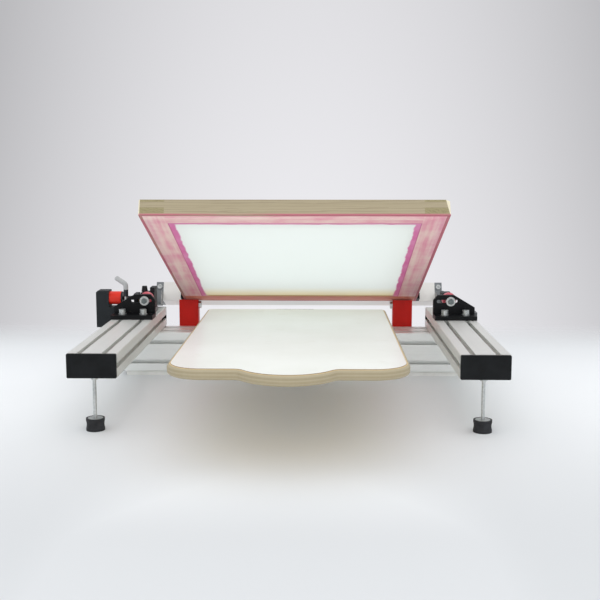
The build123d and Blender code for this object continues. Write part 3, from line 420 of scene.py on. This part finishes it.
@dataclass(frozen=True)
class Rubber(Finish):
    """Black rubber, matt, with dust on what faces up."""

    def lay(self, graph: Graph) -> bpy.types.NodeSocket:
        """Matt skin, mould grain and dust."""
        place = graph.coordinates()
        skin = graph.noise(place, 500.0, 4.0)
        cloud = graph.noise(place, 80.0, 3.0)
        base = graph.mix(cloud.between(0.35, 0.7), tone("1C1D20"), tone("2B2C30"))
        dust = graph.facing((0.0, 0.0, 1.0)).between(0.1, 0.9) * cloud * 0.3
        shader = graph.surface(
            {
                "Base Color": graph.mix(dust, base, tone("77777A")),
                "Roughness": 0.66 + skin * 0.2,
                "Normal": graph.bump(skin, 0.00008),
            }
        )
        return shader.outputs[0]


@dataclass(frozen=True)
class RaisedPlace:
    """The turned origin of the raised screen, from which its patterns are measured."""

    middle_x: float = 0.0095
    pivot_y: float = 0.037
    pivot_z: float = 0.150
    raised: float = 22.0

    def of(self, graph: Graph) -> bpy.types.NodeSocket:
        """Places measured in the screen's own plane, from its hinge."""
        return graph.moved(
            graph.coordinates(),
            origin=(self.middle_x, self.pivot_y, self.pivot_z),
            turn=(-radians(self.raised), 0.0, 0.0),
        )

    def matrix(self) -> Matrix:
        """Carries a shape drawn flat at its hinge to the raised screen."""
        shift = Matrix.Translation((self.middle_x, self.pivot_y, self.pivot_z))
        return shift @ Matrix.Rotation(-radians(self.raised), 4, "X")


@dataclass(frozen=True)
class FrameWood(Finish):
    """Pale softwood bars: grain along each bar, end grain on its ends, ink below."""

    along: Axis = Axis.Y
    place: RaisedPlace = RaisedPlace()
    planed_right: Tuple[float, float, float] = (0.707, -0.655, 0.265)
    planed_left: Tuple[float, float, float] = (-0.707, -0.655, 0.265)
    forward: Tuple[float, float, float] = (0.0, -0.927, 0.375)
    ring_spacing: float = 0.021
    stain_top: float = 0.0004
    stain_bottom: float = -0.0028

    def lay(self, graph: Graph) -> bpy.types.NodeSocket:
        """Year rings, pores, end grain and pink ink stains at the underside."""
        here = self.place.of(graph)
        across = graph.noise(graph.moved(here, self.along.stretch(1.6, 46.0)), 1.0, 5.0, 0.6)
        fibres = graph.noise(graph.moved(here, self.along.stretch(14.0, 700.0)), 1.0, 2.0)
        x, y, z = graph.split(here)
        sideways = x if self.along is Axis.Y else y
        rings = (z * 5.0 + across * 0.14 + sideways * 1.2).repeat(self.ring_spacing)
        late = rings.between(0.55, 0.95) * 0.45
        share = (across * 0.5 + fibres * 0.3 + late).between(0.2, 0.95)
        long_grain = graph.mix(share, tone("B2A588"), tone("9E9075"))
        sawn = graph.noise(here, 900.0, 3.0)
        end_share = (sawn * 0.6 + late).between(0.2, 0.9)
        end_grain = graph.mix(end_share, tone("9F946F"), tone("8C815D"))
        end_way = self.forward if self.along is Axis.Y else Axis.X.value
        ends = abs(graph.facing(end_way)).between(0.8, 0.95)
        sawn_wood = graph.mix(ends, long_grain, end_grain)
        corner = graph.facing(self.planed_right).highest(graph.facing(self.planed_left))
        planed = corner.between(0.86, 0.94)
        wood = graph.mix(planed, sawn_wood, tone("F1E7CB"))
        blot = graph.noise(graph.moved(here, self.along.stretch(7.0, 90.0)), 1.0, 4.0)
        low = z.between(self.stain_top, self.stain_bottom)
        stained = (low * blot.between(0.25, 0.6)).lowest(0.85)
        inked = graph.mix(stained, wood, tone("C4607A"))
        shader = graph.surface(
            {
                "Base Color": inked,
                "Roughness": 0.52 + fibres * 0.2,
                "Normal": graph.bump(fibres * 0.6 + across * 0.4, 0.00012),
            }
        )
        return shader.outputs[0]


@dataclass(frozen=True)
class PlyEdge(Finish):
    """Birch plywood: thin crossed layers show along its edge."""

    layer: float = 0.0026

    def lay(self, graph: Graph) -> bpy.types.NodeSocket:
        """Layers along the edge and long grain on the faces."""
        place = graph.coordinates()
        _, _, z = graph.split(place)
        wander = graph.noise(place, 30.0, 2.0)
        step = (z + wander * 0.0004).repeat(2 * self.layer)
        dark = step.between(0.42, 0.5) - step.between(0.92, 1.0)
        glue = abs(step - 0.5).between(0.07, 0.0) + abs(step - 0.98).between(0.07, 0.0)
        fibres = graph.noise(graph.moved(place, (260.0, 260.0, 30.0)), 1.0, 3.0)
        share = (dark * 0.4 + fibres * 0.25 + wander * 0.25).between(0.0, 1.0)
        layers = graph.mix(share, tone("B4A88C"), tone("A09375"))
        edge = graph.mix(glue * 0.3, layers, tone("8F7B5A"))
        grain = graph.noise(graph.moved(place, Axis.Y.stretch(2.0, 120.0)), 1.0, 4.0)
        face = graph.mix(grain, tone("E3D0A4"), tone("C9AE7B"))
        flat = abs(graph.facing(Axis.Z.value)).between(0.9, 0.98)
        shader = graph.surface(
            {
                "Base Color": graph.mix(flat, edge, face),
                "Roughness": 0.45 + fibres * 0.15,
                "Normal": graph.bump(fibres * 0.5 + share * 0.5, 0.00008),
            }
        )
        return shader.outputs[0]


@dataclass(frozen=True)
class Laminate(Finish):
    """White platen laminate, wiped clean many times."""

    def lay(self, graph: Graph) -> bpy.types.NodeSocket:
        """A warm white with faint wipe marks and a soft shine."""
        place = graph.coordinates()
        cloud = graph.noise(place, 7.0, 4.0)
        wipes = graph.noise(graph.moved(place, (18.0, 160.0, 18.0)), 1.0, 4.0)
        ghost = graph.noise(place, 26.0, 6.0, 0.7)
        edge = abs(graph.facing(Axis.Z.value)).between(0.6, 0.2)
        base = graph.mix(cloud.between(0.3, 0.8), tone("F2F3EE"), tone("EAEBE4"))
        worn = graph.mix(ghost.between(0.55, 0.8) * 0.3, base, tone("D8D4C6"))
        shader = graph.surface(
            {
                "Base Color": graph.mix(edge * 0.85, worn, tone("8A6B45")),
                "Roughness": 0.3 + wipes * 0.14,
                "Coat Weight": 0.2,
                "Coat Roughness": 0.15,
                "Normal": graph.bump(wipes, 0.00003),
            }
        )
        return shader.outputs[0]


@dataclass(frozen=True)
class PrintingMesh(Finish):
    """Fine printing mesh: glued and ink stained under the bars, filled along their inner edges."""

    half_width: float = 0.202
    front: float = -0.489
    rear: float = -0.019
    band: float = 0.010
    rim_start: float = -0.0330
    rim_end: float = -0.0352
    haze_reach: float = 0.075
    haze_share: float = 0.6
    strip_start: float = 0.008
    strip_end: float = 0.006
    wave_height: float = 0.010
    thread_pitch: float = 0.0011
    open_cover: float = 0.6
    open_passing: float = 0.56
    band_loss: float = 0.36
    place: RaisedPlace = RaisedPlace()

    def lay(self, graph: Graph) -> bpy.types.NodeSocket:
        """Glue zone, filler band with its wavy edge, and open weave."""
        here = self.place.of(graph)
        x, y, _ = graph.split(here)
        wave = graph.noise(here, 38.0, 3.0) - 0.5
        beside = self.half_width - abs(x)
        ahead = y - self.front
        behind = self.rear - y
        inside = beside.lowest(ahead * 1.6).lowest(behind * 1.6)
        glued = inside.between(0.0006, -0.0006)
        wavy = inside + wave * self.wave_height
        filled = wavy.between(self.band + 0.0012, self.band - 0.0016)
        streak_x = graph.noise(graph.moved(here, Axis.X.stretch(5.0, 120.0)), 1.0, 4.0)
        streak_y = graph.noise(graph.moved(here, Axis.Y.stretch(5.0, 120.0)), 1.0, 4.0)
        side_bar = beside.between(0.0005, -0.0005)
        streaks = streak_x * (1 - side_bar) + streak_y * side_bar
        patches = graph.noise(here, 22.0, 4.0)
        stain = (streaks * 0.7 + patches * 0.55).between(0.45, 0.85)
        pink = graph.mix(stain, tone("FADAD3"), tone("EC97AF"))
        rim = ahead.between(self.rim_start, self.rim_end)
        edged = graph.mix(rim * 0.8, pink, tone("D0487C"))
        glue = graph.mix(behind.between(0.001, -0.001) * 0.8, edged, tone("DC7A52"))
        haze = behind.between(self.haze_reach, 0.0) * self.haze_share
        cream = graph.mix(haze, tone("F8FCFA"), tone("F2DFA6"))
        strip = behind.between(self.strip_start, self.strip_end) * beside.between(0.0, 0.02)
        cloth = graph.mix(strip, cream, tone("D7B46C"))
        band = graph.mix(patches.between(0.3, 0.7), tone("EE74BC"), tone("F59CD0"))
        lined = graph.mix(inside.between(0.0022, 0.0008) * 0.6, band, tone("C8507F"))
        inner = graph.mix(filled * (1 - strip) * 0.94, cloth, lined)
        base = graph.mix(glued, inner, glue)
        warp = x.repeat(self.thread_pitch) - 0.5
        weft = y.repeat(self.thread_pitch) - 0.5
        cover = (self.open_cover + filled * 0.3 + glued * 0.4).lowest(1.0)
        shader = graph.surface(
            {
                "Base Color": base,
                "Roughness": 0.6,
                "Alpha": cover,
                "Normal": graph.bump(warp * warp + weft * weft, 0.00010),
            }
        )
        through = graph.add("ShaderNodeBsdfTranslucent", None, {"Color": base})
        passing = (1 - glued) * (self.open_passing - filled * self.band_loss)
        blend = graph.add(
            "ShaderNodeMixShader",
            None,
            {0: passing, 1: shader.outputs[0], 2: through.outputs[0]},
        )
        return blend.outputs[0]


ZINC = PlatedMetal("Zinc_steel", "D8DAD8", "B6BABA")
SCREW_STEEL = PlatedMetal("Screw_steel", "7F8888", "646C6D", 0.3)
DARK_STEEL = PlatedMetal("Dark_steel", "3B3E42", "2A2C30", 0.4, 0.6)
BRASS = PlatedMetal("Brass", "C7A25A", "A8854A")
BLACK = Coating("Black_coating", "101113", "17181A", 0.42, gloss=0.12)
ANCHOR = Coating("Anchor_black", "1F2326", "272B2E", 0.5, coat=0.0, gloss=0.2)
GRIP = MouldedPlastic("Grip_black", "17181B", "202124", 0.4, gloss=0.25)


class Shape:
    """A mesh under work: bmesh operators shape it, and it ends as one piece."""

    def __init__(self, name: str) -> None:
        """Starts an empty mesh for a piece of that name."""
        self.name = name
        self.mesh = bmesh.new()

    def finished(
        self, finish: Finish, body: str, smooth: float = 40.0
    ) -> bpy.types.Object:
        """Ends the work: one object at the origin that rides on a body.

        Args:
            finish: What covers it.
            body: The CAD body that carries it.
            smooth: Edges sharper than this many degrees stay sharp.

        Returns:
            The finished object.
        """
        bmesh.ops.recalc_face_normals(self.mesh, faces=self.mesh.faces[:])
        data = bpy.data.meshes.new(self.name)
        self.mesh.to_mesh(data)
        self.mesh.free()
        data.shade_smooth()
        data.set_sharp_from_angle(angle=radians(smooth))
        data.materials.append(finish.material())
        piece = bpy.data.objects.new(self.name, data)
        bpy.context.scene.collection.objects.link(piece)
        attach(piece, body)
        LOG.info("%s: %d faces on %s", self.name, len(data.polygons), body)
        return piece


class Assembly:
    """What every sub-assembly of the press shares."""

    nodes: Dict[str, bpy.types.Object] = {}

    @classmethod
    def cover(cls, finish: Finish, *names: str) -> None:
        """Gives CAD nodes their finish, in their own material slots."""
        for name in names:
            for slot in cls.nodes[name].material_slots:
                slot.material = finish.material()
            LOG.info("%s: %s", name, finish.name)


@dataclass
class BaseFrame(Assembly):
    """Rails, crossbeam, arm and what closes and carries them."""

    beam_colour: str = "F5F7F5"
    beam_shade: str = "E4E6E3"
    rail_colour: str = "EDEEEA"
    rail_shade: str = "D9D9D5"

    def dress(self) -> None:
        """Covers the profiles with drawn aluminium and the rest by kind."""
        along_x = DrawnAluminium("Beam_aluminium", self.beam_colour, self.beam_shade, Axis.X)
        along_y = DrawnAluminium("Rail_aluminium", self.rail_colour, self.rail_shade, Axis.Y)
        self.cover(along_x, "crossbeam")
        self.cover(along_y, "rail_left", "rail_right", "platen_arm")
        self.cover(MouldedPlastic("Cap_plastic", "121415", "1A1C1E", 0.5, gloss=0.15), "end_caps")
        self.cover(MouldedPlastic("Skid_plastic", "EDEDEA", "E2E2DE", 0.5), "beam_pads")
        self.cover(ZINC, "arm_cleats", "slot_nuts", "slot_screws")


@dataclass
class Platen(Assembly):
    """The board that carries the work and its white face."""

    def dress(self) -> None:
        """Covers the board and its face."""
        self.cover(PlyEdge("Birch_plywood"), "platen_board")
        self.cover(Laminate("White_laminate"), "platen_laminate")


@dataclass
class Feet(Assembly):
    """The two levelling feet at the front."""

    def dress(self) -> None:
        """Covers buffers, rods and nuts."""
        for side in Side:
            self.cover(Rubber("Black_rubber"), f"foot_buffer_{side.word}")
            self.cover(ZINC, f"foot_rod_{side.word}")
        self.cover(ZINC, "foot_nuts")


@dataclass
class RegisterBrackets(Assembly):
    """Black angle brackets, stop posts and the anchor of the sideways knob."""

    def dress(self) -> None:
        """Covers the brackets, posts and anchor."""
        self.cover(BLACK, "bracket_left", "bracket_right")
        self.cover(ZINC, "bracket_washers", "bracket_bolts", "post_cross_bolts", "anchor_screws")
        self.cover(Coating("Red_coating", "D6211A", "C01C14", gloss=0.15), "stop_posts")
        self.cover(ANCHOR, "x_anchor")


@dataclass
class Carriage(Assembly):
    """Slide plates, bearing blocks, lever and brake."""

    def dress(self) -> None:
        """Covers what slides and what clamps it."""
        grey = Coating("Plate_coating", "5E6063", "505255")
        pale = Coating("Lever_grey", "BDBEBE", "ACADAE", 0.36, gloss=0.3)
        self.cover(ZINC, "slide_nuts", "slide_screws")
        self.cover(grey, "slide_plates")
        self.cover(BLACK, "bearing_blocks")
        self.cover(ANCHOR, "nut_block_left", "nut_block_right", "x_lug")
        self.cover(pale, "lever_arm")
        self.cover(ZINC, "lever_stud")
        self.cover(DARK_STEEL, "lever_hub")
        self.cover(GRIP, "brake_knob")


@dataclass
class Drives(Assembly):
    """Register screws with their discs and the sideways knob."""

    def dress(self) -> None:
        """Covers discs, screws, knob and nut."""
        disc = Coating("Disc_red", "EC7B88", "E06878", 0.35, gloss=0.3)
        knob = Coating("Knob_red", "EA3522", "DA2A19", 0.34, gloss=0.25)
        self.cover(knob, "x_knob")
        self.cover(DARK_STEEL, "x_spindle")
        self.cover(BRASS, "x_nut")
        for side in Side:
            self.cover(ZINC, f"slot_washers_{side.word}")
            self.cover(SCREW_STEEL, f"register_screw_{side.word}")
            self.cover(disc, f"register_disc_{side.word}")


@dataclass
class Screen(Assembly):
    """The hinged frame with its stretched mesh and the beam that carries it."""

    width: float = 0.474
    length: float = 0.540
    middle_y: float = -0.254
    underside: float = -0.0031
    thread: float = 0.00012
    cells: Tuple[int, int] = (24, 27)
    place: RaisedPlace = RaisedPlace()

    def build(self) -> bpy.types.Object:
        """Stretches the mesh as one thin sheet under the bars.

        Returns:
            The sheet.
        """
        shape = Shape("printing_mesh")
        across, along = self.cells
        bmesh.ops.create_grid(shape.mesh, x_segments=across, y_segments=along, size=0.5)
        flat = Matrix.Diagonal((self.width, self.length, 1.0, 1.0))
        lay = Matrix.Translation((0.0, self.middle_y, self.underside))
        bmesh.ops.transform(
            shape.mesh, matrix=self.place.matrix() @ lay @ flat, verts=shape.mesh.verts[:]
        )
        sheet = shape.finished(PrintingMesh("Printing_mesh"), "screen")
        solid = sheet.modifiers.new("thickness", "SOLIDIFY")
        solid.thickness = self.thread
        solid.offset = 0.0
        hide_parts("mesh")
        return sheet

    def dress(self) -> None:
        """Covers beam, bars and fittings."""
        grey = Coating("Grey_coating", "7F8386", "6C7073")
        tube = DrawnAluminium("Hinge_aluminium", "F4F2EE", "E4E2DE", Axis.X, 0.4, 0.35)
        self.cover(tube, "hinge_beam")
        self.cover(grey, "end_blocks")
        self.cover(BLACK, "screen_cheeks")
        self.cover(ZINC, "end_screws", "hinge_pins")
        self.cover(DARK_STEEL, "cheek_screws")
        self.cover(BRASS, "screen_inserts")
        for side in Side:
            self.cover(FrameWood("Wood_side_bars", Axis.Y), f"screen_bar_{side.word}")
            self.cover(ZINC, f"clamp_washer_{side.word}")
            self.cover(GRIP, f"star_knob_{side.word}")
        self.cover(FrameWood("Wood_cross_bars", Axis.X), "screen_bar_front", "screen_bar_rear")


@dataclass
class Studio:
    """Camera, floor, soft light and a pale background."""

    camera_place: Tuple[float, float, float] = (0.04676, -1.94728, 0.42322)
    camera_dip: float = 0.14003
    camera_yaw: float = 0.01873
    lens: float = 57.87
    film: float = 36.0
    table_half: float = 1.6
    table_front: float = -3.2
    table_rear: float = 0.68
    table_fade: float = 0.46
    table_margin: float = 0.02
    bright_y: float = -0.2
    front_start: float = -0.66
    front_end: float = -0.92
    wall_level: float = 0.81
    wall_fall: float = 0.40
    wall_curve: float = 3.0
    wall_slant: float = 0.06
    wall_lowest: float = 0.5
    room_strength: float = 1.02
    key_place: Tuple[float, float, float] = (-0.1, 0.25, 2.1)
    key_target: Tuple[float, float, float] = (0.0, -0.15, 0.0)
    key_size: float = 2.2
    key_power: float = 7.0
    fill_place: Tuple[float, float, float] = (0.2, -2.6, 1.1)
    fill_target: Tuple[float, float, float] = (0.0, -0.2, 0.2)
    fill_size: float = 2.4
    fill_power: float = 9.0

    def camera(self) -> None:
        """Sets the camera where the photograph was taken from."""
        data = bpy.data.cameras.new("Camera")
        data.lens = self.lens
        data.sensor_width = self.film
        data.clip_start = 0.05
        camera = bpy.data.objects.new("Camera", data)
        camera.location = self.camera_place
        camera.rotation_euler = (pi / 2 - self.camera_dip, 0.0, self.camera_yaw)
        bpy.context.scene.collection.objects.link(camera)
        bpy.context.scene.camera = camera

    def lamp(
        self, name: str, place: Sequence[float], target: Sequence[float], size: float, power: float
    ) -> None:
        """Adds one square softbox that looks at a target."""
        data = bpy.data.lights.new(name, "AREA")
        data.shape = "SQUARE"
        data.size = size
        data.energy = power
        lamp = bpy.data.objects.new(name, data)
        lamp.location = place
        look = Vector(target) - Vector(place)
        lamp.rotation_euler = look.to_track_quat("-Z", "Y").to_euler()
        bpy.context.scene.collection.objects.link(lamp)

    def floor(self) -> None:
        """Lays a pale table top with painted shade towards its sides and front; it fades out behind
        the press.
        """
        work = bmesh.new()
        bmesh.ops.create_grid(work, x_segments=1, y_segments=1, size=1.0)
        middle = (self.table_rear + self.table_front) / 2
        half_depth = (self.table_rear - self.table_front) / 2
        size = Matrix.Diagonal((self.table_half, half_depth, 1.0, 1.0))
        bmesh.ops.transform(
            work, matrix=Matrix.Translation((0.0, middle, 0.0)) @ size, verts=work.verts[:]
        )
        data = bpy.data.meshes.new("table_top")
        work.to_mesh(data)
        work.free()
        table = bpy.data.objects.new("table_top", data)
        bpy.context.scene.collection.objects.link(table)
        material = bpy.data.materials.new("Table_white")
        material.use_nodes = True
        graph = Graph(material.node_tree)
        place = graph.coordinates()
        x, y, _ = graph.split(place)
        cloud = graph.noise(place, 3.0, 2.0)
        middle_tone = graph.mix(cloud, tone("F1F3F5"), tone("EEF0F2"))
        # Painted light and shade: the table is brightest in a strip near the press and darkens
        # towards the sides and the front, to the painted shade tone D6D8DA.
        beside = abs(y - self.bright_y).between(0.05, 0.75) * abs(x).between(0.05, 0.3)
        ahead = y.between(self.front_start, self.front_end) * 0.85
        edge = beside.highest(ahead)
        base = graph.mix(edge, middle_tone, tone("D6D8DA"))
        shader = graph.surface({"Base Color": base, "Roughness": 0.7, "Specular IOR Level": 0.2})
        clear = graph.add("ShaderNodeBsdfTransparent")
        fade = y.between(self.table_rear - self.table_fade, self.table_rear - self.table_margin)
        blend = graph.add(
            "ShaderNodeMixShader", None, {0: fade, 1: shader.outputs[0], 2: clear.outputs[0]}
        )
        graph.end(blend.outputs[0])
        data.materials.append(material)

    def world(self) -> None:
        """Fills the room with soft light and shows the camera a pale wall with painted shade
        towards its top and sides.
        """
        world = bpy.data.worlds.new("Room")
        bpy.context.scene.world = world
        world.use_nodes = True
        graph = Graph(world.node_tree)
        way = graph.add("ShaderNodeTexCoord").outputs["Generated"]
        x, _, z = graph.split(way)
        # Painted shade on the wall: it darkens upwards, towards both sides and a little towards the
        # right.
        level = self.wall_level - z * self.wall_fall - x * x * self.wall_curve - x * self.wall_slant
        level = level.highest(self.wall_lowest)
        shown = graph.mix(level, (0.0, 0.0, 0.0, 1.0), (1.0, 0.995, 1.03, 1.0))
        seen = graph.add("ShaderNodeBackground", None, {"Color": shown, "Strength": 1.0})
        fill = graph.add(
            "ShaderNodeBackground",
            None,
            {"Color": (0.97, 0.985, 1.0, 1.0), "Strength": self.room_strength},
        )
        ray = graph.add("ShaderNodeLightPath")
        direct = Value(graph, ray.outputs["Is Camera Ray"])
        glossy = Value(graph, ray.outputs["Is Glossy Ray"])
        soft = Value(graph, ray.outputs["Is Diffuse Ray"])
        clear = Value(graph, ray.outputs["Is Transmission Ray"]) * (1 - soft)
        blend = graph.add(
            "ShaderNodeMixShader",
            None,
            {0: (direct + glossy + clear).lowest(1.0), 1: fill.outputs[0], 2: seen.outputs[0]},
        )
        graph.add("ShaderNodeOutputWorld", None, {"Surface": blend.outputs[0]})

    def build(self) -> None:
        """Sets up the whole studio."""
        bpy.context.scene.view_settings.view_transform = "Standard"
        self.camera()
        self.floor()
        self.world()
        self.lamp("Key", self.key_place, self.key_target, self.key_size, self.key_power)
        self.lamp("Fill", self.fill_place, self.fill_target, self.fill_size, self.fill_power)


def main() -> None:
    """Builds the press in order and reports each piece."""
    logging.basicConfig(level=logging.INFO, format="%(name)s: %(message)s")
    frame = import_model()
    Assembly.nodes = frame["nodes"]
    Studio().build()
    for assembly in (BaseFrame(), Platen(), Feet(), RegisterBrackets(), Carriage(), Drives()):
        assembly.dress()
    screen = Screen()
    screen.build()
    screen.dress()


if __name__ == "__main__":
    main()
